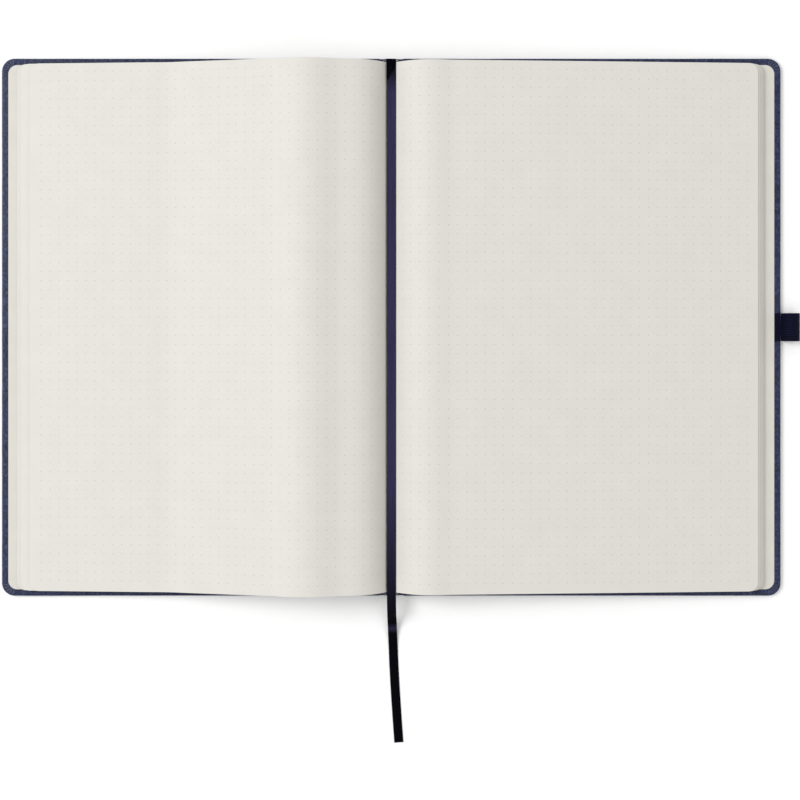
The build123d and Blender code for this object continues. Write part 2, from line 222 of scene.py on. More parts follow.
def paper_fibres(nodes, vector):
    """Fibre and cloud height, as the sheet's formation shows them."""
    clouds = nodes.noise(vector, 90, 5)
    fibres = nodes.noise(vector, 2600, 3, 0.7)
    nodes.rough(fibres, 0.80, 0.92)
    nodes.bump((clouds, 0.00006), (fibres, 0.000012))
    return clouds, fibres


def page_material():
    """Ivory page with a faint grey dot grid, laid out from the sheet's own lengths."""
    nodes = Nodes("page_paper", PAGE_LIGHT, 0.86)
    nodes.set("Specular IOR Level", 0.25)
    clouds, fibres = paper_fibres(nodes, nodes.place())
    paper = nodes.mix(nodes.spread(clouds, 0.3, 0.7), PAGE_LIGHT, PAGE_DARK)

    parts = nodes.split(nodes.uv("sheet"))
    across, along = parts["X"], parts["Y"]
    offsets = []
    for value in (across, along):
        shifted = nodes.math("FRACT", value)
        centred = nodes.math("SUBTRACT", shifted, 0.5)
        offsets.append(nodes.math("MULTIPLY", centred, centred))
    distance = nodes.math("SQRT", nodes.math("ADD", offsets[0], offsets[1]))
    inked = nodes.spread(distance, 0.034, 0.060, 1.0, 0.0)
    for value, count in ((across, GRID_COLUMNS), (along, GRID_ROWS)):
        inked = nodes.math("MULTIPLY", inked, nodes.math("GREATER_THAN", value, 0.0))
        inked = nodes.math("MULTIPLY", inked, nodes.math("LESS_THAN", value, float(count)))
    nodes.colour(nodes.mix(nodes.math("MULTIPLY", inked, 0.68), paper, (0.26, 0.27, 0.29)))
    return nodes.material


def edge_material():
    """Cut edges of the leaves: fine uneven lines, with painted shade in the gaps between them."""
    nodes = Nodes("page_edges", PAGE_LIGHT, 0.9)
    nodes.set("Specular IOR Level", 0.2)
    vector = nodes.place((1, 1, 14))
    lines_and_gap_shade = nodes.noise(vector, 420, 4, 0.6)
    dust = nodes.noise(nodes.place(), 60, 3)
    # The darker tone of the streaks is painted shade in the gaps between leaves
    tone = nodes.mix(nodes.spread(lines_and_gap_shade, 0.3, 0.7), (0.66, 0.62, 0.56), (0.76, 0.73, 0.67))
    nodes.colour(nodes.mix(nodes.spread(dust, 0.35, 0.75, 0, 0.3), tone, (0.60, 0.56, 0.50)))
    nodes.bump((lines_and_gap_shade, 0.00005))
    return nodes.material


def endpaper_material():
    nodes = Nodes("endpaper", (0.66, 0.63, 0.56), 0.88)
    nodes.set("Specular IOR Level", 0.25)
    clouds, fibres = paper_fibres(nodes, nodes.place())
    tone = nodes.mix(nodes.spread(clouds, 0.3, 0.7), (0.64, 0.62, 0.57), (0.61, 0.59, 0.54))
    nodes.colour(tone)
    return nodes.material


def leatherette_material():
    """Satin navy leatherette: pebble grain, creases with painted shade in their valleys, and
    scuffs on the raised grain.
    """
    nodes = Nodes("leatherette", (0.022, 0.028, 0.075), 0.42)
    nodes.set("Specular IOR Level", 0.24)
    nodes.set("Coat Weight", 0.05)
    nodes.set("Coat Roughness", 0.32)
    vector = nodes.place()
    pebbles = nodes.cells(vector, 1300, "SMOOTH_F1")
    creases = nodes.cells(nodes.place((1, 0.7, 1)), 520, "DISTANCE_TO_EDGE")
    clouds = nodes.noise(vector, 38, 4)
    flecks = nodes.noise(vector, 620, 3, 0.7)
    fine = nodes.noise(vector, 5200, 2)
    base = nodes.mix(nodes.spread(clouds, 0.3, 0.7), (0.010, 0.014, 0.050), (0.021, 0.028, 0.080))
    flecked = nodes.mix(nodes.spread(flecks, 0.42, 0.66), base, (0.044, 0.056, 0.122))
    # Painted shade: the colour darkens in the valleys of the creases
    painted_crease_shade = nodes.spread(creases, 0.0, 0.12, 0.85, 0.0)
    grained = nodes.mix(painted_crease_shade, flecked, (0.004, 0.006, 0.022))
    raised = nodes.spread(flecks, 0.62, 0.74)
    scuffs = nodes.math("MULTIPLY", raised, nodes.spread(clouds, 0.5, 0.66))
    scuffs = nodes.math("MULTIPLY", scuffs, 0.5, True)
    worn = nodes.mix(scuffs, grained, (0.13, 0.15, 0.22))
    # Gathered corners: painted shade in the folds, lighter on their crowns
    folds = nodes.split(nodes.uv("pleat"))
    painted_fold_shade = nodes.mix(folds["X"], worn, (0.006, 0.008, 0.026))
    nodes.colour(nodes.mix(folds["Y"], painted_fold_shade, (0.105, 0.125, 0.190)))
    nodes.rough(flecks, 0.34, 0.56)
    nodes.bump((creases, 0.00022), (pebbles, 0.00008), (fine, 0.00001))
    return nodes.material


def board_material():
    nodes = Nodes("board", (0.42, 0.38, 0.32), 0.95)
    vector = nodes.place()
    flecks = nodes.noise(vector, 900, 4)
    layers = nodes.wave(nodes.place((1, 1, 8)), 160, "Z", 2.0)
    tone = nodes.mix(nodes.spread(flecks, 0.35, 0.65), (0.36, 0.32, 0.27), (0.47, 0.43, 0.36))
    nodes.colour(nodes.mix(nodes.math("MULTIPLY", layers, 0.2), tone, (0.27, 0.24, 0.20)))
    nodes.bump((flecks, 0.00006))
    return nodes.material


def kraft_material():
    nodes = Nodes("lining_paper", (0.50, 0.40, 0.27), 0.9)
    vector = nodes.place((1, 0.12, 1))
    strands = nodes.noise(vector, 1500, 4)
    tone = nodes.mix(nodes.spread(strands, 0.3, 0.7), (0.44, 0.35, 0.23), (0.56, 0.46, 0.32))
    nodes.colour(tone)
    nodes.bump((strands, 0.00003))
    return nodes.material


def woven(name, first, second, count, roughness, depth, sheen):
    """Plain weave of the given number of threads per metre."""
    nodes = Nodes(name, first, roughness)
    nodes.set("Sheen Weight", sheen)
    nodes.set("Sheen Roughness", 0.4)
    vector = nodes.place()
    warp = nodes.wave(vector, count, "X")
    weft = nodes.wave(vector, count, "Y")
    rise = nodes.wave(vector, count, "Z")
    weave = nodes.math("MAXIMUM", nodes.math("MULTIPLY", warp, rise), weft)
    uneven = nodes.noise(vector, 700, 3)
    mixed = nodes.math("MULTIPLY", weave, nodes.spread(uneven, 0.2, 0.8, 0.6, 1.0))
    nodes.colour(nodes.mix(mixed, first, second))
    nodes.bump((weave, depth))
    return nodes.material


def ribbon_material(name, navy_most):
    """Satin: fine threads along the ribbon, lighter navy along the length in the open gutter, with
    painted sheen on the threads and a painted highlight at the crease on the table.
    """
    nodes = Nodes(name, (0.012, 0.012, 0.035), 0.5)
    nodes.set("Specular IOR Level", 0.03)
    nodes.set("Sheen Weight", 0.008)
    nodes.set("Sheen Roughness", 0.3)
    nodes.set("Anisotropic", 0.3)
    sheet = nodes.uv("sheet")
    threads = nodes.wave(sheet, 1.6, "X")
    picks = nodes.wave(sheet, 2.2, "Y")
    uneven = nodes.noise(nodes.place((1, 0.05, 1)), 900, 3)
    along = nodes.split(nodes.place())["Y"]
    # The length in the open gutter is lighter navy, and a painted highlight lies along the crease
    # on the table
    low = nodes.spread(along, -0.160, -0.085)
    high = nodes.spread(along, 0.142, 0.128)
    navy_share_and_glint = nodes.math("MULTIPLY", low, high, True)
    crease = nodes.math("ABSOLUTE", nodes.math("ADD", along, 0.1665))
    # Painted highlight: colour lightened along the crease where the ribbon lands on the table
    painted_crease_glint = nodes.spread(crease, 0.0, 0.0028, 0.55, 0.0)
    navy_share_and_glint = nodes.math("MAXIMUM", nodes.math("MULTIPLY", navy_share_and_glint, navy_most), painted_crease_glint)
    streak = nodes.math("MULTIPLY", navy_share_and_glint, nodes.spread(uneven, 0.3, 0.7, 0.65, 1.0))
    base = nodes.mix(streak, (0.0008, 0.0007, 0.0024), (0.034, 0.031, 0.078))
    # Painted sheen: the threads are coloured lighter where the ribbon is navy
    painted_thread_sheen = nodes.math("MULTIPLY", threads, nodes.math("MULTIPLY", navy_share_and_glint, 0.3))
    nodes.colour(nodes.mix(painted_thread_sheen, base, (0.060, 0.056, 0.125)))
    nodes.rough(uneven, 0.42, 0.6)
    nodes.bump((picks, 0.00001), (threads, 0.00003))
    return nodes.material


def elastic_material():
    """Elastic webbing: covered rubber ribs round the loop with painted shade in the valleys
    between them, crossed by fine threads.
    """
    nodes = Nodes("elastic", (0.004, 0.005, 0.020), 0.7)
    nodes.set("Specular IOR Level", 0.06)
    nodes.set("Sheen Weight", 0.015)
    nodes.set("Sheen Roughness", 0.45)
    across = nodes.split(nodes.place())["Y"]
    turns = nodes.math("MULTIPLY", across, 2 * math.pi * RIBS / (2 * LOOP_HALF))
    valley = nodes.math("COSINE", nodes.math("ADD", turns, math.pi * RIBS))
    picks = nodes.wave(nodes.place(), 640, "X", 0.6)
    fuzz = nodes.noise(nodes.place(), 2400, 3)
    # Painted shade: the colour darkens in the valleys between the ribs
    rib_and_valley_shade = nodes.spread(valley, -0.6, 1.0, 1.0, 0.0)
    tone = nodes.mix(rib_and_valley_shade, (0.0007, 0.0008, 0.005), (0.0052, 0.0062, 0.025))
    nodes.colour(nodes.mix(nodes.math("MULTIPLY", picks, 0.4), tone, (0.0020, 0.0026, 0.011)))
    nodes.rough(fuzz, 0.6, 0.8)
    nodes.bump((picks, 0.00004), (fuzz, 0.00001))
    return nodes.material


def thread_material():
    nodes = Nodes("thread", (0.80, 0.79, 0.74), 0.5)
    twist = nodes.wave(nodes.place((1, 0, 1)), 900, "DIAGONAL")
    nodes.colour(nodes.mix(twist, (0.62, 0.60, 0.54), (0.84, 0.83, 0.78)))
    nodes.bump((twist, 0.00003))
    return nodes.material


def floor_material():
    nodes = Nodes("floor", (0.96, 0.96, 0.96), 0.9)
    nodes.set("Specular IOR Level", 0.1)
    grain = nodes.noise(nodes.place(), 30, 3)
    tone = nodes.mix(nodes.spread(grain, 0.3, 0.7), (0.955, 0.955, 0.955), (0.965, 0.965, 0.965))
    nodes.colour(tone)
    return nodes.material


PAGE = page_material()
EDGES = edge_material()
ENDPAPER = endpaper_material()
LEATHERETTE = leatherette_material()
BOARD = board_material()
KRAFT = kraft_material()
GAUZE = woven("gauze", (0.40, 0.38, 0.33), (0.78, 0.76, 0.70),
              count=260, roughness=0.9, depth=0.00015, sheen=0.1)
BAND = woven("band_cloth", (0.010, 0.012, 0.032), (0.045, 0.052, 0.115),
             count=420, roughness=0.65, depth=0.00010, sheen=0.3)
RIBBON = ribbon_material("ribbon_satin", 0.85)
RIBBON_DARK = ribbon_material("ribbon_underside", 0.0)
ELASTIC = elastic_material()
THREAD = thread_material()
FLOOR = floor_material()

# ---- mesh helpers ----------------------------------------------------------------------


def new_piece(name, vertices, faces, materials, indices=None):
    """Mesh object from vertices in metres and faces."""
    mesh = bpy.data.meshes.new(name)
    mesh.from_pydata([tuple(v) for v in vertices], [], [tuple(f) for f in faces])
    for material in materials:
        mesh.materials.append(material)
    if indices is not None:
        mesh.polygons.foreach_set("material_index", indices)
    mesh.polygons.foreach_set("use_smooth", [True] * len(mesh.polygons))
    mesh.update()
    piece = bpy.data.objects.new(name, mesh)
    bpy.context.scene.collection.objects.link(piece)
    return piece


def add_map(piece, name, values):
    """UV map that holds one pair of values for each vertex."""
    layer = piece.data.uv_layers.new(name=name)
    corners = np.empty(len(piece.data.loops), dtype=np.int32)
    piece.data.loops.foreach_get("vertex_index", corners)
    layer.data.foreach_set("uv", values[corners].astype(np.float32).ravel())


def turned(points, pole, angle):
    """Points (x, z) turned about the pole, anticlockwise seen with x right and z up."""
    offset = points - pole
    c, s = np.cos(angle), np.sin(angle)
    x = pole[0] + offset[:, 0] * c - offset[:, 1] * s
    z = pole[1] + offset[:, 0] * s + offset[:, 1] * c
    return np.stack([x, z], 1)


def open_curve(shut, pole, angle, start, end):
    """Where points of the straight shut leaf lie when the book is open.

    Each point turns back by its own share of the angle, and that share is the one that
    its open place has between start and end, so that the leaf is straight again when shut.
    """
    low = np.zeros(len(shut))
    high = np.ones(len(shut))
    along = end - start
    for _ in range(HALVINGS):
        share = (low + high) / 2
        place = turned(shut, pole, -share * angle)
        t = np.clip(((place - start) @ along) / (along @ along), 0, 1)
        smooth = t * t * (3 - 2 * t)
        under = share < smooth
        low = np.where(under, share, low)
        high = np.where(under, high, share)
    return turned(shut, pole, -(low + high) / 2 * angle)


def joint_pole(name, side):
    """Pole of a hinge as if its half lay on the right, and its travel in radians."""
    joint = JOINTS[name]
    x, y, z = joint["pos_m"]
    travel = max(abs(value) for value in joint["range_deg"])
    return np.array([x * side, z]), math.radians(travel)


# ---- leaves ----------------------------------------------------------------------------
FLAT_STEP = 12 * MM             # between points where a leaf is flat
CORNER_POINTS = 9
TOP_ROWS, HIDDEN_ROWS = 25, 5   # points along the spine on a leaf that shows, and on others
PRINT_MARGIN = 0.72             # fore edge to the printed grid on the right, in pitches
LEFT_SHIFT = 0.10               # how much more it is on the left
MIDDLE_ROW = GRID_ROWS / 2 - 0.126


def leaf_columns(first, last, bends):
    """Lengths from the sewn back at which a leaf has a row of points."""
    values = set()
    for start, end, count in bends:
        low, high = max(first, start), min(last, end)
        if high > low:
            values.update(np.linspace(low, high, count))
    values.update(np.arange(first, last, FLAT_STEP))
    values.update((first, last))
    if last > LEAF_LENGTH - MM:
        for share in np.linspace(0, 1, CORNER_POINTS):
            values.add(last - PAGE_CORNER * (1 - math.sin(share * math.pi / 2)))
    return np.array(sorted(value for value in values if first <= value <= last))


def half_height(length, total):
    """Half the leaf's height at a length from the sewn back, less at its round corners."""
    into = length - (total - PAGE_CORNER)
    cut = np.where(into > 0, PAGE_CORNER - np.sqrt(np.maximum(PAGE_CORNER ** 2 - into ** 2, 0)), 0)
    return PAGE_HALF - cut


def leaf_mesh(lines, lengths, total, side, rows, caps):
    """One leaf as a thin sheet, open at an end without a cap, between two lines (x, z)."""
    count = len(lengths)
    heights = half_height(lengths, total)
    shares = np.linspace(-1, 1, rows)
    points, marks = [], []
    for line in lines:
        for share in shares:
            y = heights * share
            points.append(np.stack([line[:, 0] * side, y, line[:, 1]], 1))
            margin = PRINT_MARGIN if side > 0 else PRINT_MARGIN + LEFT_SHIFT
            column = GRID_COLUMNS - ((total - lengths) / GRID - margin)
            row = y / GRID + MIDDLE_ROW
            marks.append(np.stack([column, row], 1))
    points, marks = np.concatenate(points), np.concatenate(marks)
    faces, kinds = [], []

    def index(level, row, column):
        return (level * rows + row) * count + column

    def face(*corners):
        faces.append(corners if side > 0 else tuple(reversed(corners)))

    for row in range(rows - 1):
        for column in range(count - 1):
            face(index(1, row, column), index(1, row, column + 1),
                 index(1, row + 1, column + 1), index(1, row + 1, column))
            face(index(0, row, column), index(0, row + 1, column),
                 index(0, row + 1, column + 1), index(0, row, column + 1))
            kinds += [0, 0]
    last = rows - 1
    for column in range(count - 1):
        face(index(0, 0, column), index(0, 0, column + 1),
             index(1, 0, column + 1), index(1, 0, column))
        face(index(0, last, column + 1), index(0, last, column),
             index(1, last, column), index(1, last, column + 1))
        kinds += [1, 1]
    for end, wanted in ((count - 1, caps[1]), (0, caps[0])):
        if wanted:
            for row in range(rows - 1):
                corners = (index(0, row, end), index(0, row + 1, end),
                           index(1, row + 1, end), index(1, row, end))
                face(*(corners if end else reversed(corners)))
                kinds.append(1)
    return points, marks, faces, kinds


class Stretch:
    """Part of a signature that crosses one joint, as if its half lay on the right."""

    def __init__(self, name, side, joint, bodies, shut, first, last, start, end):
        self.name = name
        self.side = side
        self.pole, self.angle = joint_pole(joint, side)
        if joint.endswith("dip_hinge"):
            self.angle = -self.angle
        self.bodies = bodies
        self.shut = shut
        self.first = first
        self.last = last
        self.start = start
        self.end = end

    def build(self, nodes, bends, caps, top):
        """Leaves of the signature over this stretch, lowest leaf first."""
        points, marks, faces, kinds = [], [], [], []
        spacing = (PITCH - GAP) / LEAVES
        for leaf in range(LEAVES):
            # The lowest leaf of the stack stands out a little, the others slip back
            place = leaf - (LEAVES - 1) / 2
            slip = UNEVEN * math.sin(2.3 * leaf + len(self.name)) - place * SLIP
            total = LEAF_LENGTH + slip
            last = total if caps[1] else self.last
            lengths = leaf_columns(self.first, last, bends)
            offset = place * spacing
            lines = []
            for half in (-SHEET / 2, SHEET / 2):
                shut = self.shut(lengths, offset + half)
                lines.append(open_curve(shut, self.pole, self.angle, self.start, self.end))
            rows = TOP_ROWS if top and leaf >= LEAVES - 2 else HIDDEN_ROWS
            p, m, f, k = leaf_mesh(lines, lengths, total, self.side, rows, caps)
            base = sum(len(q) for q in points)
            points.append(p)
            marks.append(m)
            faces += [tuple(base + v for v in corner) for corner in f]
            kinds += k
        piece = new_piece(self.name, np.concatenate(points), faces, [PAGE, EDGES], kinds)
        add_map(piece, "sheet", np.concatenate(marks))
        mark_sharp(piece, 40)
        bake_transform(piece)
        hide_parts(*nodes)
        return piece


def mark_sharp(piece, degrees=SHARP):
    """Edges turned more than the angle are shaded sharp."""
    mesh = bmesh.new()
    mesh.from_mesh(piece.data)
    for edge in mesh.edges:
        if len(edge.link_faces) == 2 and edge.calc_face_angle(0) > math.radians(degrees):
            edge.smooth = False
    mesh.to_mesh(piece.data)
    mesh.free()


def fix_normals(piece, join=False):
    """Normals outward, after doubled points are joined if asked."""
    mesh = bmesh.new()
    mesh.from_mesh(piece.data)
    if join:
        bmesh.ops.remove_doubles(mesh, verts=mesh.verts, dist=1e-7)
    bmesh.ops.recalc_face_normals(mesh, faces=mesh.faces)
    mesh.to_mesh(piece.data)
    mesh.free()


def slab_faces(count, length):
    """Faces of a closed slab with two levels of count columns of length points."""
    upper = count * length
    faces = []
    for column in range(count - 1):
        for row in range(length - 1):
            base = column * length + row
            quad = (base, base + 1, base + length + 1, base + length)
            faces.append(quad)
            faces.append(tuple(upper + v for v in reversed(quad)))
        for row in (0, length - 1):
            base = column * length + row
            faces.append((base, base + length, base + length + upper, base + upper))
    for row in range(length - 1):
        for column in (0, count - 1):
            base = column * length + row
            faces.append((base, base + 1, base + 1 + upper, base + upper))
    return faces


def half_frame(side):
    """Ridge point, the direction across the backs and the direction of the shut leaves."""
    hinge = "back_block_hinge" if side > 0 else "front_block_hinge"
    tilt = math.radians(max(JOINTS[hinge]["range_deg"]))
    block_half = (LEFT_COUNT + RIGHT_COUNT) * PITCH / 2
    gutter = (-block_half + LEFT_COUNT * PITCH) * side
    ridge = np.array([gutter + RIDGE_GAP / 2, RIDGE_HEIGHT])
    across = np.array([math.cos(tilt), -math.sin(tilt)])
    up = np.array([math.sin(tilt), math.cos(tilt)])
    return ridge, across, up


def signature_stretch(number):
    """First stretch of a signature: from its sewn back over its bend."""
    side = -1 if number <= LEFT_COUNT else 1
    ridge, across, up = half_frame(side)
    place = LEFT_COUNT - number if side < 0 else number - LEFT_COUNT - 1
    root = ridge + across * (place + 0.5) * PITCH + up * BACK_HEIGHT
    name = "signature_%d" % number
    pole, angle = joint_pole(name + "_bend_hinge", side)
    # The pole is level with the middle of the bend
    reach = (pole - root) @ up
    shut_end = root + up * 2 * reach
    end = turned(shut_end[None, :], pole, -angle)[0]

    def shut(lengths, offset):
        # A higher leaf is nearer to the middle of the book
        return root + np.outer(lengths, up) - across * offset

    return side, name, root, shut, reach, end


def plain_signature(number):
    side, name, root, shut, reach, end = signature_stretch(number)
    block = "front_block" if side < 0 else "back_block"
    top = number in (LEFT_COUNT, LEFT_COUNT + 1)
    stretch = Stretch(name + "_sheets", side, name + "_bend_hinge", (block, name),
                      shut, 0.0, LEAF_LENGTH, root, end)
    bends = [(0.0, 2 * reach, 26), (2 * reach, 2.4 * reach, 4)]
    stretch.build((name + "_bend", name + "_leaves"), bends, (True, True), top)


def top_left_signature():
    """It bends in two steps, falls, dips and levels out: one piece for each joint."""
    number = LEFT_COUNT
    side, name, root, shut, reach, _ = signature_stretch(number)
    first_pole, first_angle = joint_pole(name + "_bend_hinge", side)
    crest_half = 2 * reach + CREST_LENGTH / 2

    def on_crest(lengths, offset):
        return turned(shut(lengths, offset), first_pole, -first_angle)

    second_pole, second_angle = joint_pole(name + "_crest_hinge", side)

    def on_run(lengths, offset):
        return turned(on_crest(lengths, offset), second_pole, -second_angle)

    crest_middle = on_crest(np.array([crest_half]), 0.0)[0]
    second_reach = 4 * reach + CREST_LENGTH
    second_last = second_reach + 8 * MM
    second_end = on_run(np.array([second_last]), 0.0)[0]
    first_start = root - (crest_middle - root) * 0.10
    dip_pole, dip_angle = joint_pole(name + "_dip_hinge", side)
    run_start = on_run(np.array([second_reach]), 0.0)[0]
    run_way = (on_run(np.array([second_reach + 0.1]), 0.0)[0] - run_start) / 0.1
    dip_middle = second_reach + (dip_pole - run_start) @ run_way
    dip_half = 11.5 * MM
    dip_from, dip_to = dip_middle - dip_half, dip_middle + dip_half
    dip_start = on_run(np.array([dip_from]), 0.0)[0]
    dip_end = turned(on_run(np.array([dip_to]), 0.0), dip_pole, dip_angle)[0]
    run_middle = (second_reach + dip_from) / 2

    first = Stretch(name + "_sheets_root", side, name + "_bend_hinge",
                    ("front_block", name + "_crest"),
                    shut, 0.0, crest_half, first_start, crest_middle)
    first.build((name + "_bend", name + "_crest_leaves"),
                [(0.0, crest_half, 30)], (True, False), True)
    second = Stretch(name + "_sheets_crest", side, name + "_crest_hinge",
                     (name + "_crest", name),
                     on_crest, crest_half, run_middle, crest_middle, second_end)
    second.build((name + "_crest_bend", name + "_leaves"),
                 [(crest_half, second_last, 30)], (False, False), True)
    third = Stretch(name + "_sheets_outer", side, name + "_dip_hinge",
                    (name, name + "_outer"),
                    on_run, run_middle, LEAF_LENGTH, dip_start, dip_end)
    third.build((name + "_dip", name + "_outer_leaves"),
                [(dip_from, dip_to, 14)], (False, True), True)


def leaves():
    for number in range(1, LEFT_COUNT + RIGHT_COUNT + 1):
        if number == LEFT_COUNT:
            top_left_signature()
        else:
            plain_signature(number)


# ---- ribbon ----------------------------------------------------------------------------
ROUTE_POINTS = 190
FOLD_FOOT = 0.1352              # where the turned corner ends
FOLD_LIFT = 0.16 * MM           # its underside over the middle of the ribbon
FOLD_THICKNESS = 0.18 * MM
FOLD_CROWN = 0.22 * MM          # rise of its free edge


def route_points():
    """Points along the ribbon's smooth centreline."""
    curve = bpy.data.curves.new("ribbon_line", "CURVE")
    curve.dimensions = "3D"
    curve.resolution_u = 24
    spline = curve.splines.new("NURBS")
    spline.points.add(len(RIBBON_ROUTE) - 1)
    for point, place in zip(spline.points, RIBBON_ROUTE):
        point.co = (*place, 1.0)
    spline.order_u = 3
    spline.use_endpoint_u = True
    line = bpy.data.objects.new("ribbon_line", curve)
    bpy.context.scene.collection.objects.link(line)
    bpy.context.view_layer.update()
    evaluated = line.evaluated_get(bpy.context.evaluated_depsgraph_get())
    mesh = bpy.data.meshes.new_from_object(evaluated)
    points = np.array([vertex.co for vertex in mesh.vertices], float)
    bpy.data.meshes.remove(mesh)
    bpy.data.objects.remove(line)
    steps = np.linalg.norm(np.diff(points, axis=0), axis=1)
    lengths = np.concatenate([[0], np.cumsum(steps)])
    wanted = np.linspace(0, lengths[-1], ROUTE_POINTS)
    smooth = np.stack([np.interp(wanted, lengths, points[:, axis]) for axis in range(3)], 1)
    return smooth, lengths[-1]


def ribbon_fold():
    """Corner of the ribbon turned over where it comes out from the head of the spine."""
    left, right = -RIBBON_WIDTH / 2, RIBBON_WIDTH / 2
    head = RIBBON_ROUTE[0][1]
    level = RIBBON_ROUTE[0][2] + FOLD_LIFT
    outline = [(left, head), (right - 0.0002, head), (right - 0.0012, head - 0.0045),
               (left + 0.0006, FOLD_FOOT), (left, FOLD_FOOT + 0.0004)]
    points, faces = [], []
    for lift in (0.0, FOLD_THICKNESS):
        for number, (x, y) in enumerate(outline):
            crown = FOLD_CROWN if number in (1, 2) else 0.0
            points.append((x, y, level + lift + crown))
    count = len(outline)
    faces.append(tuple(reversed(range(count))))
    faces.append(tuple(range(count, 2 * count)))
    for number in range(count):
        after = (number + 1) % count
        faces.append((number, after, count + after, count + number))
    fold = new_piece("ribbon_fold", points, faces, [RIBBON_DARK])
    add_map(fold, "sheet", np.array([((x - left) / MM, y / MM) for x, y, z in points]))
    fix_normals(fold)
    mesh = bmesh.new()
    mesh.from_mesh(fold.data)
    bmesh.ops.bevel(mesh, geom=mesh.edges[:], offset=0.00006, segments=2, affect="EDGES")
    mesh.to_mesh(fold.data)
    mesh.free()
    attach(fold, "spine")
    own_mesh(fold)
    return fold


def ribbon():
    line, length = route_points()
    across = np.linspace(-1, 1, 9)
    along = np.gradient(line, axis=0)
    along /= np.linalg.norm(along, axis=1)[:, None]
    level = np.cross(along, np.array([0.0, 0.0, 1.0]))
    level /= np.linalg.norm(level, axis=1)[:, None]
    normal = np.cross(level, along)
    count = len(line)
    points, marks, faces = [], [], []
    lengths = np.linspace(0, length, count)
    for side in (1, -1):
        for share in across:
            # The selvedges stand a little proud
            lift = side * RIBBON_THICKNESS / 2 * (0.72 + 0.28 * abs(share) ** 6)
            points.append(line + level * share * RIBBON_WIDTH / 2 + normal * lift)
            place = (share + 1) / 2 * RIBBON_WIDTH / MM
            marks.append(np.stack([np.full(count, place), lengths / MM], 1))
    rows = len(across)
    for side in (0, 1):
        for row in range(rows - 1):
            for column in range(count - 1):
                base = (side * rows + row) * count + column
                quad = (base, base + count, base + count + 1, base + 1)
                faces.append(quad if side else tuple(reversed(quad)))
    for row, flip in ((0, False), (rows - 1, True)):
        for column in range(count - 1):
            top = row * count + column
            under = (rows + row) * count + column
            quad = (top, under, under + 1, top + 1)
            faces.append(tuple(reversed(quad)) if flip else quad)
    for column, flip in ((0, True), (count - 1, False)):
        for row in range(rows - 1):
            top = row * count + column
            under = (rows + row) * count + column
            quad = (top, under, under + count, top + count)
            faces.append(tuple(reversed(quad)) if flip else quad)
    piece = new_piece("ribbon", np.concatenate(points), faces, [RIBBON])
    add_map(piece, "sheet", np.concatenate(marks))
    mark_sharp(piece)
    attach(piece, "spine")
    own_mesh(piece)
    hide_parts("ribbon_marker")
    fold = ribbon_fold()


# ---- covers ----------------------------------------------------------------------------
RIM = [
    # distance in from the edge, height, both in millimetres, round the rim from inside
    (15.0, 2.10), (15.0, 2.40), (11.0, 2.40), (8.0, 2.40), (6.0, 2.40), (4.4, 2.41),
    (3.0, 2.42), (2.0, 2.42), (1.3, 2.41), (0.85, 2.39), (0.45, 2.33), (0.16, 2.20),
    (0.04, 2.02), (0.0, 1.70), (0.0, 1.05), (0.0, 0.62), (0.06, 0.30), (0.28, 0.09),
    (0.7, 0.0), (1.6, 0.0), (4.0, 0.0), (9.0, 0.0), (15.0, 0.0),
]
FOLDS = 5                       # pleats gathered at each corner
PLEAT_IN = 2.6                  # their middle, in millimetres from the edge
PLEAT_SPREAD = 2.0
PLEAT_DEPTH = 0.45 * MM
PLEAT_LEVEL = 0.66              # share of the depth that lies below the turn-in's face
SLACK_UP, SLACK_OUT = 0.018 * MM, 0.04 * MM
TAB_SINK = 0.12 * MM            # how far the covering sinks where the webbing is glued in
SKIN_DIP = 0.05 * MM


def cover_path():
    """Points round three sides of a cover, their outward directions and their place.

    The place runs from 0 to 1 round a corner and is -1 on a straight side.
    """
    path = []
    corner_x, corner_y = HALF_SPREAD - COVER_CORNER, COVER_HALF - COVER_CORNER
    for x in np.linspace(BOARD_INNER, corner_x, 36)[:-1]:
        path.append((x, COVER_HALF, 0, 1, -1))
    for share in np.linspace(0, 1, 37):
        angle = math.pi / 2 * (1 - share)
        c, n = math.cos(angle), math.sin(angle)
        path.append((corner_x + COVER_CORNER * c, corner_y + COVER_CORNER * n, c, n, share))
    head = list(reversed(path))
    side = list(np.linspace(corner_y, LOOP_HALF + 1.2 * MM, 24)[1:])
    side += [LOOP_HALF + 0.25 * MM, LOOP_HALF + 0.1 * MM]
    side += list(np.linspace(LOOP_HALF - 0.5 * MM, 0, 4))
    for y in side + [-v for v in side[-2::-1]]:
        path.append((HALF_SPREAD, y, 1, 0, -1))
    for x, y, out_x, out_y, share in head:
        path.append((x, -y, out_x, -out_y, share))
    return path


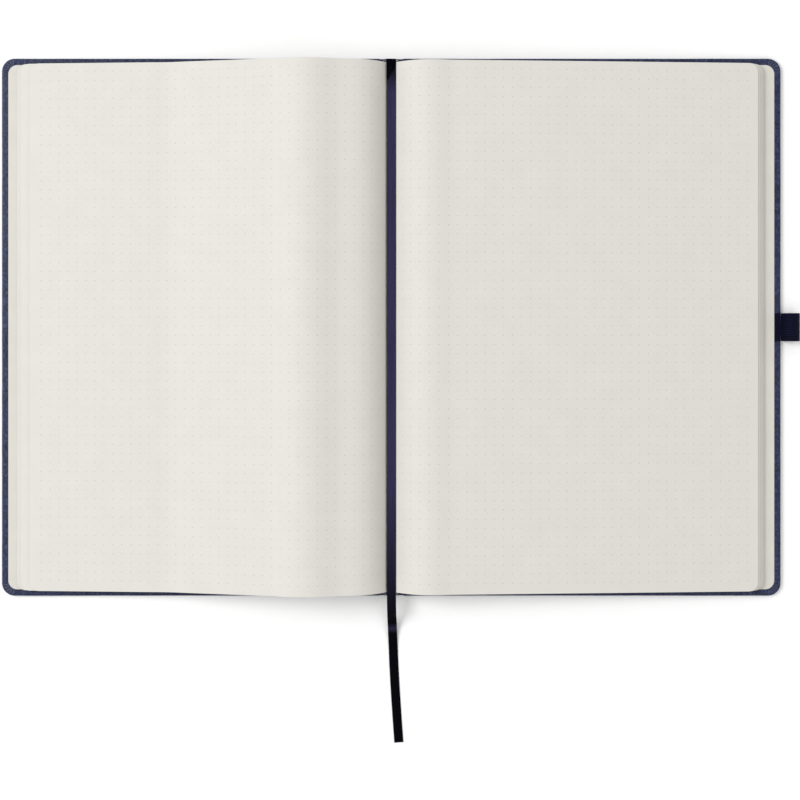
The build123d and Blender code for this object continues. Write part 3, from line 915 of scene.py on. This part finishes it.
def covering(name, side):
    """Leatherette wrapped round a board: soft rim, pleats at the corners, a little slack."""
    path = cover_path()
    rings = len(RIM)
    noise = np.random.default_rng(11 if side > 0 else 7)
    slack = noise.normal(0, 1, (len(path), 4))
    slack = (slack[:, 0] + np.roll(slack[:, 0], 1) + np.roll(slack[:, 0], 2)) / 3
    points, faces, pleats = [], [], []
    for number, (x, y, out_x, out_y, share) in enumerate(path):
        for inward, height in RIM:
            pleat = (0.0, 0.0)
            d = inward * MM
            z = height * MM
            px, py = x - out_x * d, y - out_y * d
            limit_x, limit_y = HALF_SPREAD - d, COVER_HALF - d
            if inward > 7.0 and 0 <= share:
                px, py = limit_x, math.copysign(limit_y, y)
            px = min(px, limit_x)
            py = max(-limit_y, min(limit_y, py))
            top = height > 2.3
            if top and 0 < share < 1:
                gathered = math.exp(-((inward - PLEAT_IN) / PLEAT_SPREAD) ** 2)
                ridge = abs(math.sin(FOLDS * math.pi * share + 0.3 * inward)) ** 0.5
                z += (ridge - PLEAT_LEVEL) * PLEAT_DEPTH * gathered
                # First value: painted shade in the folds of the pleat; second: a lighter colour on
                # its crown
                pleat = (0.8 * gathered * (1 - ridge) ** 0.8, 0.4 * gathered * ridge ** 6)
            if top and inward < 9:
                z += slack[number] * SLACK_UP
            if 1.0 < height < 2.1 and inward < 0.1:
                px += out_x * slack[number] * SLACK_OUT
                py += out_y * slack[number] * SLACK_OUT
            at_tab = abs(y) < LOOP_HALF + 0.12 * MM and 0.4 < inward < 12.5
            if side > 0 and at_tab and top:
                z -= TAB_SINK
            points.append((px * side, py, z))
            pleats.append(pleat)
    for number in range(len(path) - 1):
        for ring in range(rings - 1):
            base = number * rings + ring
            quad = (base, base + 1, base + rings + 1, base + rings)
            faces.append(quad if side > 0 else tuple(reversed(quad)))
    count = len(path)
    under = [number * rings + rings - 1 for number in range(count)]
    faces.append(tuple(under) if side < 0 else tuple(reversed(under)))
    for end, flip in ((0, side < 0), (count - 1, side > 0)):
        cap = [end * rings + ring for ring in range(rings)]
        faces.append(tuple(reversed(cap)) if flip else tuple(cap))
    piece = new_piece(name, points, faces, [LEATHERETTE])
    add_map(piece, "pleat", np.array(pleats))
    fix_normals(piece, join=True)
    mark_sharp(piece)
    body = "back" if side > 0 else "front"
    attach(piece, body + "_cover")
    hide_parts(body + "_covering")


def joint_skin(side):
    """Flexible strip of covering between the spine panel and a board."""
    columns = np.linspace(SPINE_HALF, BOARD_INNER + 0.3 * MM, 13)
    rows = np.linspace(-COVER_HALF, COVER_HALF, 60)
    points = []
    for level in (0, 1):
        for x in columns:
            share = (x - SPINE_HALF) / (columns[-1] - SPINE_HALF)
            dip = SKIN_DIP * math.sin(math.pi * share)
            for y in rows:
                points.append((x * side, y, level * (SKIN - dip)))
    faces = slab_faces(len(columns), len(rows))
    body = "back" if side > 0 else "front"
    piece = new_piece(body + "_joint_crease", points, faces, [LEATHERETTE])
    fix_normals(piece)
    mark_sharp(piece)
    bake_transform(piece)
    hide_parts(body + "_joint_skin")


def hollow_lining(name):
    """Kraft strip between the spine and the raised back, carried by the spine."""
    node = frame["nodes"][name + "_hollow_lining"]
    piece = bpy.data.objects.new(name + "_hollow_strip", node.data.copy())
    bpy.context.scene.collection.objects.link(piece)
    piece.data.materials.clear()
    piece.data.materials.append(KRAFT)
    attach(piece, "spine")
    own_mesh(piece)
    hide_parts(name + "_hollow_lining")


# ---- pen loop --------------------------------------------------------------------------
LOOP_RADIUS = 4.25 * MM
LOOP_WALL = 0.90 * MM
LOOP_X = HALF_SPREAD + 10.1 * MM - LOOP_RADIUS
LOOP_Z = LOOP_RADIUS + 0.05 * MM
NECK = (HALF_SPREAD + 0.52 * MM, 1.95 * MM)
BORE = (HALF_SPREAD + 2.6 * MM, 2.50 * MM)
SELVEDGE = 0.35 * MM
SELVEDGE_PULL = 0.35            # how far both faces draw in, as a share of half the wall
VALLEY_PULL = 0.24
ROOT_LENGTH = 12 * MM
ROOT_UNDER, ROOT_TOP, ROOT_RIB = 1.5 * MM, 2.34 * MM, 0.06 * MM


def teardrop(radius, tip, tip_radius, count):
    """Outline (x, z) of a round loop drawn in to a narrow tip."""
    along = math.atan2(LOOP_Z - tip[1], LOOP_X - tip[0])
    distance = math.hypot(LOOP_X - tip[0], LOOP_Z - tip[1])
    spread = math.acos((tip_radius - radius) / distance)
    outline = []
    turn = 2 * math.pi
    for (x, z), size, first, last, steps in (
        ((LOOP_X, LOOP_Z), radius, along - spread, along + spread, count),
        (tip, tip_radius, along + spread, along - spread + turn, 9),
    ):
        for angle in np.linspace(first, last, steps):
            outline.append((x + size * math.cos(angle), z + size * math.sin(angle)))
    return np.array(outline)


def rib_height(y):
    """Height of the ribs at a place across the webbing, 0 in a valley and 1 on a rib."""
    share = (y / LOOP_HALF + 1) / 2
    return 0.5 - 0.5 * math.cos(2 * math.pi * RIBS * share)


def pen_loop():
    """Loop of ribbed elastic, with rounded selvedges."""
    rows = np.linspace(-LOOP_HALF, LOOP_HALF, RIBS * STEPS_PER_RIB + 1)
    outer = teardrop(LOOP_RADIUS, NECK, 0.45 * MM, 56)
    inner = teardrop(LOOP_RADIUS - LOOP_WALL, BORE, 0.22 * MM, 56)
    middle = (outer + inner) / 2
    count = len(outer)
    points, faces = [], []
    for outline in (outer, inner):
        for y in rows:
            round_off = max(0.0, (abs(y) - LOOP_HALF + SELVEDGE) / SELVEDGE)
            pull = VALLEY_PULL * (1 - rib_height(y)) ** 2 + SELVEDGE_PULL * round_off ** 2
            ring = outline + (middle - outline) * pull
            points += [(x, y, z) for x, z in ring]
    levels = len(rows)
    for side in (0, 1):
        for row in range(levels - 1):
            for column in range(count):
                base = (side * levels + row) * count
                after = (column + 1) % count
                far = base + count
                faces.append((base + column, base + after, far + after, far + column))
    for row in (0, levels - 1):
        for column in range(count):
            after = (column + 1) % count
            base, far = row * count, (levels + row) * count
            faces.append((base + column, base + after, far + after, far + column))
    piece = new_piece("pen_loop_webbing", points, faces, [ELASTIC])
    fix_normals(piece)
    mark_sharp(piece, 60)
    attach(piece, "pen_loop")
    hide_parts("pen_loop")


def pen_loop_root():
    """Ribbed end of the webbing, glued into the edge of the back cover."""
    rows = np.linspace(-LOOP_HALF, LOOP_HALF, RIBS * STEPS_PER_RIB + 1)
    columns = np.linspace(HALF_SPREAD - ROOT_LENGTH, HALF_SPREAD - 0.02 * MM, 10)
    points = []
    for height, rise in ((ROOT_UNDER, 0.0), (ROOT_TOP, ROOT_RIB)):
        for x in columns:
            for y in rows:
                points.append((x, y, height + rise * rib_height(y)))
    faces = slab_faces(len(columns), len(rows))
    piece = new_piece("pen_loop_root", points, faces, [ELASTIC])
    fix_normals(piece)
    mark_sharp(piece, 60)
    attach(piece, "back_cover")
    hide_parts("pen_loop_tab")


# ---- CAD nodes that stay ---------------------------------------------------------------


def dress_nodes():
    """Detailed materials on the CAD nodes whose shapes stay."""
    finishes = {
        "page_paper": PAGE,
        "endpaper": ENDPAPER,
        "board": BOARD,
        "lining_paper": KRAFT,
        "gauze": GAUZE,
        "thread": THREAD,
        "band_cloth": BAND,
        "ribbon": RIBBON,
        "elastic": ELASTIC,
        "leatherette": LEATHERETTE,
    }
    for row in frame["record"]["subparts"]:
        node = frame["nodes"][row["node"]]
        finish = finishes[row["material_slot"]]
        if row["node"].endswith("_back"):
            finish = EDGES
        if row["node"] == "ribbon_foot":
            finish = RIBBON_DARK
        for slot in node.material_slots:
            slot.material = finish


# ---- stage -----------------------------------------------------------------------------


def area_light(name, place, size, power):
    """Round lamp that points at the middle of the book."""
    data = bpy.data.lights.new(name, "AREA")
    data.shape = "DISK"
    data.size = size
    data.energy = power
    lamp = bpy.data.objects.new(name, data)
    lamp.location = place
    lamp.rotation_euler = (-Vector(place)).to_track_quat("-Z", "Y").to_euler()
    bpy.context.scene.collection.objects.link(lamp)


def stage():
    bpy.ops.mesh.primitive_plane_add(size=8, location=(0, 0, -0.0001))
    floor = bpy.context.object
    floor.name = "floor"
    floor.data.materials.append(FLOOR)
    world = bpy.data.worlds.new("studio")
    world.use_nodes = True
    background = world.node_tree.nodes["Background"]
    background.inputs["Color"].default_value = (1, 1, 1, 1)
    background.inputs["Strength"].default_value = 0.785
    bpy.context.scene.world = world
    area_light("key", (-1.3, 0.4, 1.6), size=1.0, power=21)
    area_light("fill", (1.3, -0.8, 1.8), size=1.6, power=2)
    bpy.context.scene.view_settings.view_transform = "Standard"


def camera():
    """Straight down from one metre; the lens and the shifts are fitted to the photograph."""
    data = bpy.data.cameras.new("camera")
    data.lens = 81.4
    data.sensor_width = 36.0
    data.shift_x = 0.0109
    data.shift_y = -0.091
    data.clip_start = 0.01
    eye = bpy.data.objects.new("camera", data)
    eye.location = (0, 0, 1.0025)
    eye.rotation_euler = (0, 0, 0)
    bpy.context.scene.collection.objects.link(eye)
    bpy.context.scene.camera = eye


# ---- build -----------------------------------------------------------------------------
camera()
stage()
ribbon()
leaves()
covering("back_cover_wrap", 1)
covering("front_cover_wrap", -1)
joint_skin(1)
joint_skin(-1)
hollow_lining("front")
hollow_lining("back")
pen_loop()
pen_loop_root()
dress_nodes()
